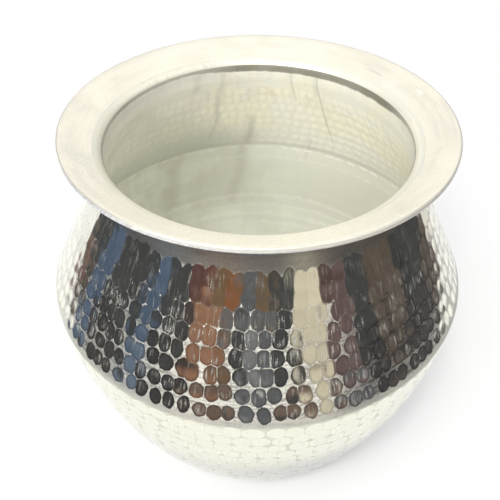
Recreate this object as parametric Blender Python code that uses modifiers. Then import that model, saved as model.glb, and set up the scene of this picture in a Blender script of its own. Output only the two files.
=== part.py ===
"""A hammered aluminium cooking pot, one spun shell with a wide sloping brim.

The pot stands on a flat round base. Its bowl rises to a sharp belly line, a conical
shoulder leans in from there to a short neck, and the brim slopes up and out of the neck.
Rows of hammer marks cover the shoulder and the bowl. A plain band is left at the belly
line and another below the neck.

Lengths are in metres. The Z axis is the pot's axis, and the base stands on the XY plane.
"""

import math

import bmesh
import bpy

# The pot's overall sizes
POT_HEIGHT = 0.280
MOUTH_DIAMETER = 0.2152
BRIM_WIDTH = 0.0274
BELLY_DIAMETER = 0.328
BELLY_HEIGHT = 0.1525
BASE_DIAMETER = 0.206
NECK_DEPTH = 0.0263

# The sheet, and the brim's edge, which is thicker than the sheet and level on top
WALL = 0.0022
RIM_EDGE_HEIGHT = 0.0035
RIM_LAND_WIDTH = 0.0015

# How the brim leans up from level, and how the bowl leans out from upright at its top and foot
BRIM_SLOPE = math.radians(27.2)
BOWL_TOP_LEAN = math.radians(1.6)
BOWL_FOOT_LEAN = math.radians(21)

# Rounding of the outer skin
RIM_EDGE_ROUNDING = 0.0008
LIP_ROUNDING = 0.0058
NECK_ROUNDING = 0.015
BELLY_ROUNDING = 0.003
BOWL_ROUNDING = 0.385
HEEL_ROUNDING = 0.038

# The hammer marks, and the plain bands beside them
MARK_WIDTH = 0.016
MARK_DEPTH = 0.0008
SHOULDER_MARK_HEIGHT = 0.0127
BOWL_MARK_HEIGHT = 0.0118
PLAIN_NECK_BAND = 0.0105
PLAIN_BELLY_BAND = 0.0035

# Lengths of the steps that a rounding is drawn in
EDGE_STEP = 0.0008
TIGHT_STEP = 0.0035
HEEL_STEP = 0.010
INNER_BOWL_STEP = 0.026

MERGE_DISTANCE = 0.00001

ALUMINIUM_COLOUR = (0.80, 0.80, 0.76, 1.0)
ALUMINIUM_ROUGHNESS = 0.28


class Corner:
    """A corner of the profile, with the radius that rounds it.

    The rounding is drawn in steps, which can be longer on the inner skin.
    """

    def __init__(self, radius, height, rounding=0.0, step=TIGHT_STEP, inner_step=TIGHT_STEP):
        self.radius = radius
        self.height = height
        self.rounding = rounding
        self.step = step
        self.inner_step = inner_step


class Side:
    """The straight side between two corners: its direction and its length."""

    def __init__(self, start, end):
        across = end.radius - start.radius
        up = end.height - start.height
        self.length = math.hypot(across, up)
        self.across = across / self.length
        self.up = up / self.length

    def turn_to(self, other):
        """Return the angle from this side to the next, positive where the path turns left."""
        cross = self.across * other.up - self.up * other.across
        dot = self.across * other.across + self.up * other.up
        return math.atan2(cross, dot)


def sides_of(corners):
    """Return the sides between neighbouring corners."""
    return [Side(start, end) for start, end in zip(corners, corners[1:])]


def offset_corners(corners, distance):
    """Move a chain's inner corners to its right by a distance, with every side kept parallel.

    A rounding that turns left, away from that side, gets wider by the distance, and one
    that turns right gets tighter.
    """
    sides = sides_of(corners)
    moved = []
    for corner, before, after in zip(corners[1:], sides, sides[1:]):
        turn = before.turn_to(after)
        outward = math.atan2(before.up, before.across) + turn / 2 - math.pi / 2
        reach = distance / math.cos(turn / 2)
        rounding = max(corner.rounding + math.copysign(distance, turn), 0.0)
        radius = corner.radius + reach * math.cos(outward)
        height = corner.height + reach * math.sin(outward)
        moved.append(Corner(radius, height, rounding, corner.inner_step))
    return moved


def tangent_lengths(corners, sides):
    """Return how far each rounding runs along its sides, cut back where two would overlap."""
    wanted = [0.0]
    for corner, before, after in zip(corners[1:], sides, sides[1:]):
        wanted.append(corner.rounding * math.tan(abs(before.turn_to(after)) / 2))
    wanted.append(0.0)
    room = []
    for index, side in enumerate(sides):
        pair = wanted[index] + wanted[index + 1]
        room.append(min(1.0, side.length / pair) if pair > 0.0 else 1.0)
    inner = [wanted[index] * min(room[index - 1], room[index]) for index in range(1, len(sides))]
    return [0.0] + inner + [0.0]


def arc_points(corner, before, after, tangent):
    """Return the points of the arc that rounds a corner."""
    turn = before.turn_to(after)
    rounding = tangent / math.tan(abs(turn) / 2)
    left = math.copysign(rounding, turn)
    start_radius = corner.radius - before.across * tangent
    start_height = corner.height - before.up * tangent
    centre_radius = start_radius - before.up * left
    centre_height = start_height + before.across * left
    first = math.atan2(start_height - centre_height, start_radius - centre_radius)
    steps = max(2, round(rounding * abs(turn) / corner.step))
    angles = [first + turn * step / steps for step in range(steps + 1)]
    return [(centre_radius + rounding * math.cos(angle), centre_height + rounding * math.sin(angle))
            for angle in angles]


def rounded_path(corners):
    """Return the points of a chain of corners, as (radius, height), with its arcs drawn in."""
    sides = sides_of(corners)
    tangents = tangent_lengths(corners, sides)
    points = [(corners[0].radius, corners[0].height)]
    for index in range(1, len(sides)):
        corner = corners[index]
        if tangents[index] > MERGE_DISTANCE:
            points += arc_points(corner, sides[index - 1], sides[index], tangents[index])
        else:
            points.append((corner.radius, corner.height))
    points.append((corners[-1].radius, corners[-1].height))
    return points


def skin_corners():
    """Return the corners of the outer skin, from under the rim's edge down to the axis."""
    rim_radius = MOUTH_DIAMETER / 2 + BRIM_WIDTH
    neck_radius = MOUTH_DIAMETER / 2 + WALL
    belly_radius = BELLY_DIAMETER / 2
    brim_thickness = WALL / math.cos(BRIM_SLOPE)
    slope_radius = rim_radius - RIM_LAND_WIDTH
    brim_fall = (slope_radius - neck_radius) * math.tan(BRIM_SLOPE)
    hem_width = (RIM_EDGE_HEIGHT - brim_thickness) / math.tan(BRIM_SLOPE)
    heel_turn = math.pi / 2 - BOWL_FOOT_LEAN
    heel_radius = BASE_DIAMETER / 2 + HEEL_ROUNDING * math.tan(heel_turn / 2)
    top_slope = math.tan(BOWL_TOP_LEAN)
    foot_slope = math.tan(BOWL_FOOT_LEAN)
    foot_of_top_line = belly_radius - BELLY_HEIGHT * top_slope
    bend_height = (foot_of_top_line - heel_radius) / (foot_slope - top_slope)
    bend_radius = heel_radius + bend_height * foot_slope
    return [
        Corner(slope_radius - hem_width, POT_HEIGHT - RIM_EDGE_HEIGHT),
        Corner(neck_radius, POT_HEIGHT - brim_thickness - brim_fall, LIP_ROUNDING),
        Corner(neck_radius, POT_HEIGHT - NECK_DEPTH, NECK_ROUNDING),
        Corner(belly_radius, BELLY_HEIGHT, BELLY_ROUNDING),
        Corner(bend_radius, bend_height, BOWL_ROUNDING, BOWL_MARK_HEIGHT, INNER_BOWL_STEP),
        Corner(heel_radius, 0.0, HEEL_ROUNDING, HEEL_STEP, HEEL_STEP),
        Corner(0.0, 0.0),
    ]


def inner_corners(skin):
    """Return the corners of the inner skin, from the axis up to the brim's lip."""
    return [Corner(0.0, WALL)] + offset_corners(skin, WALL)[::-1]


def shoulder_row_corners(neck, belly):
    """Return the corners between the rows of hammer marks, down the shoulder's straight side."""
    side = Side(neck, belly)
    marked = side.length - PLAIN_NECK_BAND - PLAIN_BELLY_BAND
    rows = round(marked / SHOULDER_MARK_HEIGHT)
    corners = []
    for row in range(rows + 1):
        along = PLAIN_NECK_BAND + marked * row / rows
        corners.append(Corner(neck.radius + side.across * along, neck.height + side.up * along))
    return corners


def pot_profile():
    """Return the whole wall's profile, up the inner skin, round the rim and down the outside."""
    skin = skin_corners()
    hem, lip, neck, belly, bend, heel, centre = skin
    rim_radius = MOUTH_DIAMETER / 2 + BRIM_WIDTH
    rim = [
        Corner(rim_radius - RIM_LAND_WIDTH, POT_HEIGHT),
        Corner(rim_radius, POT_HEIGHT, RIM_EDGE_ROUNDING, EDGE_STEP),
        Corner(rim_radius, POT_HEIGHT - RIM_EDGE_HEIGHT, RIM_EDGE_ROUNDING, EDGE_STEP),
    ]
    rows = shoulder_row_corners(neck, belly)
    outside = [hem, lip, neck] + rows + [belly, bend, heel, centre]
    return rounded_path(inner_corners(skin) + rim + outside)


def build_collection(name):
    """Return a new collection in the scene."""
    collection = bpy.data.collections.new(name)
    bpy.context.scene.collection.children.link(collection)
    return collection


def spun_mesh(name, points, segments):
    """Return the closed mesh that a profile sweeps in one turn about the Z axis."""
    profile = bpy.data.meshes.new(name + "_profile")
    vertices = [(radius, 0.0, height) for radius, height in points]
    edges = [(index, index + 1) for index in range(len(points) - 1)]
    profile.from_pydata(vertices, edges, [])
    guide = bpy.data.objects.new(name + "_profile", profile)
    bpy.context.scene.collection.objects.link(guide)
    screw = guide.modifiers.new("Spin", "SCREW")
    screw.steps = segments
    screw.render_steps = segments
    screw.use_merge_vertices = True
    screw.merge_threshold = MERGE_DISTANCE
    evaluated = guide.evaluated_get(bpy.context.evaluated_depsgraph_get())
    mesh = bpy.data.meshes.new_from_object(evaluated)
    mesh.name = name
    bpy.data.objects.remove(guide)
    bpy.data.meshes.remove(profile)
    return mesh


def marked_heights():
    """Return the height ranges that the hammer marks cover, the shoulder's and the bowl's."""
    neck, belly, bend, heel = skin_corners()[2:6]
    rows = shoulder_row_corners(neck, belly)
    bowl = [Corner(belly.radius, belly.height), bend, heel]
    arc = rounded_path(bowl)
    return [(rows[-1].height, rows[0].height), (arc[-2][1], arc[1][1])]


def hammer_marks(mesh):
    """Sink the middle of each outer face in the hammered bands, with a crisp web between."""
    bm = bmesh.new()
    bm.from_mesh(mesh)
    bm.normal_update()
    bands = marked_heights()
    marked = []
    for face in bm.faces:
        centre = face.calc_center_median()
        faces_out = centre.x * face.normal.x + centre.y * face.normal.y > 0.0
        in_band = any(low < centre.z < high for low, high in bands)
        if faces_out and in_band:
            marked.append(face)
    for face in marked:
        for edge in face.edges:
            edge.smooth = False
    bmesh.ops.poke(bm, faces=marked, offset=-MARK_DEPTH)
    bm.to_mesh(mesh)
    bm.free()


def aluminium():
    """Return the satin aluminium of the whole pot."""
    material = bpy.data.materials.new("aluminium")
    material.use_nodes = True
    shader = material.node_tree.nodes["Principled BSDF"]
    shader.inputs["Base Color"].default_value = ALUMINIUM_COLOUR
    shader.inputs["Metallic"].default_value = 1.0
    shader.inputs["Roughness"].default_value = ALUMINIUM_ROUGHNESS
    return material


def build_pot_shell(collection):
    """Build the pot's one piece of sheet metal."""
    quarter = round(math.pi * BELLY_DIAMETER / (4 * MARK_WIDTH))
    mesh = spun_mesh("pot_shell", pot_profile(), 4 * quarter)
    mesh.shade_smooth()
    mesh.set_sharp_from_angle(angle=math.radians(50))
    hammer_marks(mesh)
    mesh.materials.append(aluminium())
    pot_shell = bpy.data.objects.new("pot_shell", mesh)
    collection.objects.link(pot_shell)
    return pot_shell


def clear_scene():
    """Remove whatever the scene holds."""
    for old in list(bpy.data.objects):
        bpy.data.objects.remove(old)


def main():
    """Build the pot in a collection of its own."""
    clear_scene()
    build_pot_shell(build_collection("hammered_cooking_pot"))


main()
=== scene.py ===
"""A hammered aluminium cooking pot, dressed in its finishes and set in a plain studio.

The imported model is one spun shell. Here the same shell is made again with every hammer
mark in place: bands of the wall are drawn as outlines, spun about the pot's axis, joined
to one closed wall, and hammered. Lengths are in metres, +Z is up, and the photographed
side of the pot faces -Y.
"""

import logging
import math
import random
from dataclasses import dataclass, field
from enum import Enum
from typing import ClassVar

import bpy
import numpy as np
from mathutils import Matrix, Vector


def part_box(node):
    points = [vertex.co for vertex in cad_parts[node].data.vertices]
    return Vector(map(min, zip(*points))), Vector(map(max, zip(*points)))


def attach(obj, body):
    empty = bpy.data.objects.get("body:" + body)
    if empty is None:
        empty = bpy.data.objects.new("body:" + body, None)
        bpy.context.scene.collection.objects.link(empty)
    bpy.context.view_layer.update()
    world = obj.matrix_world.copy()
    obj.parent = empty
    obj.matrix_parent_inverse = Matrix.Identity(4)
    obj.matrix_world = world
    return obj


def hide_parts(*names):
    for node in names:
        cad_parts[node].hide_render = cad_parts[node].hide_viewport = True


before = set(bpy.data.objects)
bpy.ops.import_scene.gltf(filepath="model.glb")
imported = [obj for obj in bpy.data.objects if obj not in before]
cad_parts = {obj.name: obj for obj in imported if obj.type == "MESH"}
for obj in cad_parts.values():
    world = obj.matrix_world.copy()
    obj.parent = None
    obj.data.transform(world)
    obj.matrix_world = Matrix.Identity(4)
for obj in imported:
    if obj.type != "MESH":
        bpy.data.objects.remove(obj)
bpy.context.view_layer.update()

log = logging.getLogger("cooking_pot")

Colour = tuple[float, float, float]
Place = tuple[float, float, float]

# The two ends of a range. What rises over it is 0 at the first end and 1 at the second
Span = tuple[float, float]

# The low and the high end of a range, and the width of the soft edges past them
Band = tuple[float, float, float]

CAD_NODE = "pot_shell"
BODY = "root"

BLACK = (0.0, 0.0, 0.0)
WHITE = (1.0, 1.0, 1.0)

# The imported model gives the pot's height and its widest line
POT_LOW, POT_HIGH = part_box(CAD_NODE)

# Points nearer to each other than this are the same point
WELD = 0.00001

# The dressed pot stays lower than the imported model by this, for the rounding of its numbers
ROUNDING_ROOM = 0.000001

# Corner attributes that place each point of a face in the two hammer marks nearest to it
MARK_PLACE = "mark_place"
NEXT_MARK_PLACE = "next_mark_place"

# The place that faces without hammer marks get in these, far outside any mark
FAR_OFF = (9.0, 9.0, 0.0)

# The fraction of a mark's chance number times this serves as its second chance number
SECOND_CHANCE = 7.0


class Zone(Enum):
    """The parts of the wall that each take a finish of their own."""

    LINING = "scoured_lining"
    BRIM = "turned_brim"
    SHEET = "hammered_sheet"
    BASE = "turned_base"


Finishes = dict[Zone, bpy.types.Material]


def select_nothing() -> None:
    """Leave edit mode, with no object selected, so that a new piece can be started."""
    if bpy.context.object is not None and bpy.context.object.mode != "OBJECT":
        bpy.ops.object.mode_set(mode="OBJECT")
    bpy.ops.object.select_all(action="DESELECT")


def pick(*pieces: bpy.types.Object) -> None:
    """Select these objects alone.

    Args:
        pieces: The objects to work on, of which the first becomes the active one.
    """
    select_nothing()
    for piece in pieces:
        piece.select_set(True)
    bpy.context.view_layer.objects.active = pieces[0]


def read_all(items: "bpy.types.bpy_prop_collection", name: str, width: int = 1,
             kind: type = int) -> np.ndarray:
    """Read one property of all of a mesh's vertices, edges, corners or faces.

    Args:
        items: The vertices, edges, corners or faces.
        name: The property's name.
        width: How many numbers each of them has.
        kind: The numbers' type.

    Returns:
        One number for each of them, or one row where each has more.
    """
    values = np.empty(len(items) * width, kind)
    items.foreach_get(name, values)
    return values.reshape(-1, width) if width > 1 else values


def vertex_places(mesh: bpy.types.Mesh) -> np.ndarray:
    """Return the places of a mesh's vertices, one row each."""
    return read_all(mesh.vertices, "co", 3, float)


def aim(thing: bpy.types.Object, target: Place) -> None:
    """Turn a lamp or the camera towards a point."""
    direction = Vector(target) - thing.location
    thing.rotation_euler = direction.to_track_quat("-Z", "Y").to_euler()


def pick_rings(piece: bpy.types.Object, rings: list[np.ndarray]) -> None:
    """Select rings of points of a spun mesh, and go into edit mode on it.

    Args:
        piece: The object that holds the mesh.
        rings: The place of each ring, as (radius, height).
    """
    pick(piece)
    mesh = piece.data
    places = vertex_places(mesh)
    radii = np.hypot(places[:, 0], places[:, 1])
    chosen = np.zeros(len(places), bool)
    for radius, height in rings:
        chosen |= np.hypot(radii - radius, places[:, 2] - height) < 2 * WELD
    ends = read_all(mesh.edges, "vertices", 2)
    mesh.polygons.foreach_set("select", np.zeros(len(mesh.polygons), bool))
    mesh.edges.foreach_set("select", chosen[ends].all(axis=1))
    mesh.vertices.foreach_set("select", chosen)
    bpy.ops.object.mode_set(mode="EDIT")
    bpy.ops.mesh.select_mode(type="EDGE")


@dataclass(frozen=True)
class Corner:
    """A corner of an outline, with the radius that rounds it and the steps of its arc."""

    radius: float
    height: float
    rounding: float = 0.0
    step: float = 0.0015

    @property
    def place(self) -> Vector:
        """The corner's place, as (radius, height)."""
        return Vector((self.radius, self.height))

    def arc(self, before: Vector, after: Vector) -> list[Vector]:
        """Draw the arc that rounds the corner.

        Args:
            before: The direction of the side that comes in, of length 1.
            after: The direction of the side that goes out, of length 1.

        Returns:
            The points of the arc, or the corner itself where it isn't rounded.
        """
        turn = before.angle_signed(after, 0.0)
        reach = self.rounding * math.tan(abs(turn) / 2)
        if reach < WELD:
            return [self.place]
        steps = max(2, math.ceil(self.rounding * abs(turn) / self.step))
        chord = 2 * self.rounding * math.sin(abs(turn) / steps / 2)
        heading = math.atan2(before.y, before.x)
        points = [self.place - before * reach]
        for step in range(steps):
            direction = heading - turn * (step + 0.5) / steps
            points.append(points[-1] + chord * Vector((math.cos(direction), math.sin(direction))))
        return points


class Outline:
    """A chain of points, as (radius, height), that is measured along its length."""

    def __init__(self, points: np.ndarray) -> None:
        """Keep the points and measure the chain.

        Args:
            points: One row for each point.
        """
        self.points = points
        steps = np.hypot(*np.diff(points, axis=0).T)
        self.lengths = np.concatenate(([0.0], np.cumsum(steps)))

    @classmethod
    def through(cls, corners: list[Corner]) -> "Outline":
        """Return the outline of a chain of corners, of which the two ends stay sharp."""
        sides = [(end.place - start.place).normalized()
                 for start, end in zip(corners, corners[1:])]
        points = [corners[0].place]
        for corner, before, after in zip(corners[1:], sides, sides[1:]):
            points += corner.arc(before, after)
        points.append(corners[-1].place)
        return cls(np.array(points))

    @classmethod
    def joined(cls, *parts: "Outline") -> "Outline":
        """Return one outline from parts that each start where the one before ends."""
        return cls(np.concatenate([parts[0].points] + [part.points[1:] for part in parts[1:]]))

    @property
    def total(self) -> float:
        """The chain's whole length."""
        return self.lengths[-1]

    def backwards(self) -> "Outline":
        """Return the same chain from its end to its start."""
        return Outline(self.points[::-1])

    def at(self, lengths: np.ndarray | float) -> np.ndarray:
        """Return the places at lengths along the chain, one row for each length."""
        return np.stack([np.interp(lengths, self.lengths, column) for column in self.points.T], -1)

    def length_at(self, heights: np.ndarray | float) -> np.ndarray:
        """Return how far down the chain heights lie. The chain has to fall all the way."""
        return np.interp(-np.asarray(heights), -self.points[:, 1], self.lengths)

    def cut(self, start: float, end: float) -> "Outline":
        """Return the part of the chain between two lengths."""
        kept = self.lengths[(self.lengths > start + WELD) & (self.lengths < end - WELD)]
        return Outline(self.at(np.concatenate(([start], kept, [end]))))

    def evenly(self, longest: float) -> "Outline":
        """Return the same chain in equal parts, each no longer than a length."""
        parts = math.ceil(self.total / longest - WELD)
        return Outline(self.at(np.linspace(0.0, self.total, parts + 1)))

    def simplified(self, longest: float, turn: float = math.radians(9)) -> "Outline":
        """Return the chain with fewer points where it is nearly straight.

        Args:
            longest: The length that a step may have.
            turn: The angle by which the chain may turn from one kept point to the next.

        Returns:
            The new chain, from the same start to the same end.
        """
        across, up = np.diff(self.points, axis=0).T
        headings = np.unwrap(np.arctan2(up, across))
        kept = [0]
        for number in range(1, len(self.points) - 1):
            far = self.lengths[number + 1] - self.lengths[kept[-1]] > longest
            turned = abs(headings[number] - headings[kept[-1]]) > turn
            if far or turned:
                kept.append(number)
        return Outline(self.points[kept + [len(self.points) - 1]]).refined(longest)

    def refined(self, longest: float) -> "Outline":
        """Return the same chain with its long stretches cut into equal parts."""
        kept = [self.lengths[:1]]
        for start, end in zip(self.lengths, self.lengths[1:]):
            parts = max(1, math.ceil((end - start) / longest - WELD))
            kept.append(np.linspace(start, end, parts + 1)[1:])
        return Outline(self.at(np.concatenate(kept)))

    def spun(self, name: str, columns: int, finish: bpy.types.Material,
             angle: float = 2 * math.pi) -> bpy.types.Object:
        """Draw the chain point by point, spin it round the upright axis, and dress it.

        Args:
            name: The new object's name.
            columns: How many faces the band has along its sweep.
            finish: The band's material.
            angle: How far it is spun, from the +X side on. A whole turn closes the band.

        Returns:
            The open band.
        """
        select_nothing()
        start = (self.points[0][0], 0.0, self.points[0][1])
        bpy.ops.mesh.primitive_circle_add(vertices=3, radius=self.lengths[1], location=start)
        band = bpy.context.object
        band.name = name
        bpy.ops.object.transform_apply(location=True)
        bpy.ops.object.mode_set(mode="EDIT")
        bpy.ops.mesh.select_mode(type="VERT")
        bpy.ops.mesh.select_all(action="SELECT")
        bpy.ops.mesh.merge(type="CENTER")
        for across, up in np.diff(self.points, axis=0):
            step = {"value": (across, 0.0, up)}
            bpy.ops.mesh.extrude_vertices_move(TRANSFORM_OT_translate=step)
        bpy.ops.object.mode_set(mode="OBJECT")
        bpy.ops.object.modifier_add(type="SCREW")
        spin = band.modifiers[-1]
        spin.angle = angle
        spin.steps = columns
        spin.render_steps = columns
        spin.use_merge_vertices = angle == 2 * math.pi
        spin.merge_threshold = WELD
        bpy.ops.object.modifier_apply(modifier=spin.name)
        band.data.materials.append(finish)
        return band


@dataclass(frozen=True)
class WallShape:
    """The sizes of the pot's wall, and the corners of its two skins."""

    height: float = POT_HIGH.z - ROUNDING_ROOM
    belly_radius: float = (POT_HIGH.x - POT_LOW.x) / 2
    belly_height: float = 0.1525
    mouth_radius: float = 0.1076
    brim_width: float = 0.0274
    base_radius: float = 0.103
    neck_depth: float = 0.0263
    thickness: float = 0.0022
    rim_edge_height: float = 0.0035
    rim_land_width: float = 0.0015
    rim_edge_rounding: float = 0.0008
    lip_rounding: float = 0.0058
    neck_rounding: float = 0.015
    belly_rounding: float = 0.003
    bowl_rounding: float = 0.385
    heel_rounding: float = 0.038
    brim_slope: float = math.radians(27.2)
    bowl_top_lean: float = math.radians(1.6)
    bowl_foot_lean: float = math.radians(21)
    rim_step: float = 0.0003
    belly_step: float = 0.0006
    bowl_step: float = 0.002
    heel_step: float = 0.004

    @property
    def rim_radius(self) -> float:
        """The brim's outer radius."""
        return self.mouth_radius + self.brim_width

    def skin_corners(self) -> list[Corner]:
        """Return the outer skin's corners, from under the rim's edge to the middle of the base."""
        neck_radius = self.mouth_radius + self.thickness
        upright = self.thickness / math.cos(self.brim_slope)
        slope_radius = self.rim_radius - self.rim_land_width
        fall = (slope_radius - neck_radius) * math.tan(self.brim_slope)
        hem_width = (self.rim_edge_height - upright) / math.tan(self.brim_slope)
        heel_turn = math.pi / 2 - self.bowl_foot_lean
        heel_radius = self.base_radius + self.heel_rounding * math.tan(heel_turn / 2)
        top_slope = math.tan(self.bowl_top_lean)
        foot_slope = math.tan(self.bowl_foot_lean)
        top_line_foot = self.belly_radius - self.belly_height * top_slope
        bend_height = (top_line_foot - heel_radius) / (foot_slope - top_slope)
        bend_radius = heel_radius + bend_height * foot_slope
        return [
            Corner(slope_radius - hem_width, self.height - self.rim_edge_height),
            Corner(neck_radius, self.height - upright - fall, self.lip_rounding),
            Corner(neck_radius, self.height - self.neck_depth, self.neck_rounding),
            Corner(self.belly_radius, self.belly_height, self.belly_rounding, self.belly_step),
            Corner(bend_radius, bend_height, self.bowl_rounding, self.bowl_step),
            Corner(heel_radius, 0.0, self.heel_rounding, self.heel_step),
            Corner(0.0, 0.0),
        ]

    def rim_corners(self) -> list[Corner]:
        """Return the corners of the rim's thick edge, from its level top to the outer skin."""
        foot = self.height - self.rim_edge_height
        return [
            Corner(self.rim_radius - self.rim_land_width, self.height),
            Corner(self.rim_radius, self.height, self.rim_edge_rounding, self.rim_step),
            Corner(self.rim_radius, foot, self.rim_edge_rounding, self.rim_step),
            self.skin_corners()[0],
        ]

    def lining_corners(self) -> list[Corner]:
        """Return the inner skin's corners, from the rim's level top to the middle of the pot."""
        skin = self.skin_corners()
        corners = [self.rim_corners()[0]]
        for before, corner, after in zip(skin, skin[1:], skin[2:]):
            coming = (corner.place - before.place).normalized()
            going = (after.place - corner.place).normalized()
            turn = coming.angle_signed(going, 0.0)
            middle = (coming + going).normalized()
            inward = Vector((middle.y, -middle.x)) * (self.thickness / math.cos(turn / 2))
            rounding = max(corner.rounding - math.copysign(self.thickness, turn), 0.0)
            place = corner.place + inward
            corners.append(Corner(place.x, place.y, rounding, corner.step))
        return corners + [Corner(0.0, self.thickness)]


@dataclass(frozen=True)
class HammerWork:
    """How one part of the wall is hammered: level rows of oval marks, each round the pot.

    There is one count of marks for each row. Half widths and heights are the first and the
    last row's. Strays and scatters are the chance differences from one mark to the next.
    """

    first_row: float
    row_pitch: float
    counts: list[int]
    half_widths: Span
    half_heights: Span
    stray_round: float
    stray_up: float
    seed: int
    top_row_drop: float = 0.0
    size_scatter: Span = (0.88, 1.12)
    lean_scatter: float = 0.08


class HammerMarks:
    """All the hammer marks of the outer skin, as arrays with one entry for each mark."""

    def __init__(self, skin: Outline, works: list[HammerWork]) -> None:
        """Lay out the marks.

        Args:
            skin: The outer skin, along which the rows are measured.
            works: The hammered parts of the wall.
        """
        self.skin = skin
        self.rows: list[tuple[int, int, float]] = []
        marks: list[tuple[float, ...]] = []
        for work in works:
            chance = random.Random(work.seed)
            for row, count in enumerate(work.counts):
                phase = chance.random()
                self.rows.append((len(marks), count, phase))
                share = row / (len(work.counts) - 1)
                half_width = np.interp(share, (0, 1), work.half_widths)
                half_height = np.interp(share, (0, 1), work.half_heights)
                middle = work.first_row + work.row_pitch * row
                if row == 0:
                    middle += work.top_row_drop
                for number in range(count):
                    stray = chance.gauss(0.0, work.stray_round)
                    marks.append((
                        (number + phase + stray) * 2 * math.pi / count,
                        middle + chance.gauss(0.0, work.stray_up),
                        half_width * chance.uniform(*work.size_scatter),
                        half_height * chance.uniform(*work.size_scatter),
                        chance.gauss(0.0, work.lean_scatter),
                        chance.random(),
                    ))
        self.marks = np.array(marks)

    def locate(self, points: np.ndarray) -> np.ndarray:
        """Return each point's angle round the pot, length down the skin and radius."""
        angles = np.arctan2(points[:, 0], -points[:, 1]) % (2 * math.pi)
        lengths = self.skin.length_at(points[:, 2])
        return np.stack([angles, lengths, np.hypot(points[:, 0], points[:, 1])], 1)

    def within(self, located: np.ndarray, numbers: np.ndarray) -> np.ndarray:
        """Place points in marks, in units of a mark's half width and half height.

        Args:
            located: The points, as locate() gives them.
            numbers: The number of one mark for each point.

        Returns:
            Across, down and the mark's own chance number, one row for each point. A mark's
            edge is at a distance of 1 from its middle.
        """
        angle, length, half_width, half_height, lean, own = self.marks[numbers].T
        turned = (located[:, 0] - angle + math.pi) % (2 * math.pi) - math.pi
        across = turned * located[:, 2]
        down = located[:, 1] - length
        level = across * np.cos(lean) + down * np.sin(lean)
        upright = down * np.cos(lean) - across * np.sin(lean)
        return np.stack([level / half_width, upright / half_height, own], 1)

    def nearest_two(self, located: np.ndarray) -> tuple[np.ndarray, np.ndarray]:
        """Find the two marks that reach each point best.

        Args:
            located: The points, as locate() gives them.

        Returns:
            The numbers of the best and the second mark, and the squared distances to them.
        """
        best = np.zeros((len(located), 2), int)
        off = np.full((len(located), 2), np.inf)
        for first, count, phase in self.rows:
            nearest = np.round(located[:, 0] / (2 * math.pi) * count - phase).astype(int)
            for neighbour in (-1, 0, 1):
                number = first + (nearest + neighbour) % count
                distance = (self.within(located, number)[:, :2] ** 2).sum(1)
                wins = distance < off[:, 0]
                second = ~wins & (distance < off[:, 1])
                best[wins, 1] = best[wins, 0]
                off[wins, 1] = off[wins, 0]
                best[wins, 0] = number[wins]
                off[wins, 0] = distance[wins]
                best[second, 1] = number[second]
                off[second, 1] = distance[second]
        return best, off

    def depths(self, points: np.ndarray) -> np.ndarray:
        """Return how deep the hammer went at points of the skin, as a share of the deepest.

        Each blow landed a little askew, so that a mark is deeper towards one side.
        """
        located = self.locate(points)
        best, off = self.nearest_two(located)
        across, down, own = self.within(located, best[:, 0]).T
        askew = 1.0 + (own - 0.5) * across + (own * SECOND_CHANCE % 1.0 - 0.5) * down
        return np.clip((1.0 - off[:, 0]) * askew, 0.0, 1.0)


@dataclass(frozen=True)
class PotPart:
    """A part of the pot's wall, which knows the whole wall's shape."""

    shape: WallShape
    skin: Outline
    lining: Outline

    def build(self, finishes: Finishes) -> list[bpy.types.Object]:
        """Build and dress the part's bands.

        Args:
            finishes: The material of each zone.

        Returns:
            The open bands.
        """
        raise NotImplementedError


@dataclass(frozen=True)
class Lining(PotPart):
    """The inside of the pot, from the turn of the lip down to the middle of its floor."""

    columns: int = 294
    top: float = 0.2654
    longest_step: float = 0.0060

    @property
    def start(self) -> float:
        """How far down the inner skin the lining starts, on the turn of the lip."""
        return float(self.lining.length_at(self.top))

    def build(self, finishes: Finishes) -> list[bpy.types.Object]:
        """Build the lining as one band, from the middle of the floor up."""
        inside = self.lining.cut(self.start, self.lining.total).simplified(self.longest_step)
        return [inside.backwards().spun("lining", self.columns, finishes[Zone.LINING])]


@dataclass(frozen=True)
class Brim(PotPart):
    """The wide sloping brim, its thick edge and the lip that it turns up from."""

    lining_start: float = 0.0
    columns: int = 294
    longest_step: float = 0.0035

    @property
    def end(self) -> float:
        """How far down the outer skin the brim's finish ends, on the upright neck."""
        lip = self.shape.skin_corners()[1]
        return float(self.skin.length_at(lip.height - lip.rounding))

    def build(self, finishes: Finishes) -> list[bpy.types.Object]:
        """Build the brim as one band, up the lip's inside, over the rim and back to the neck."""
        top = self.lining.cut(0.0, self.lining_start).simplified(self.longest_step).backwards()
        edge = Outline.through(self.shape.rim_corners())
        under = self.skin.cut(0.0, self.end).simplified(self.longest_step)
        brim = Outline.joined(top, edge, under)
        return [brim.spun("brim", self.columns, finishes[Zone.BRIM])]


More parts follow.
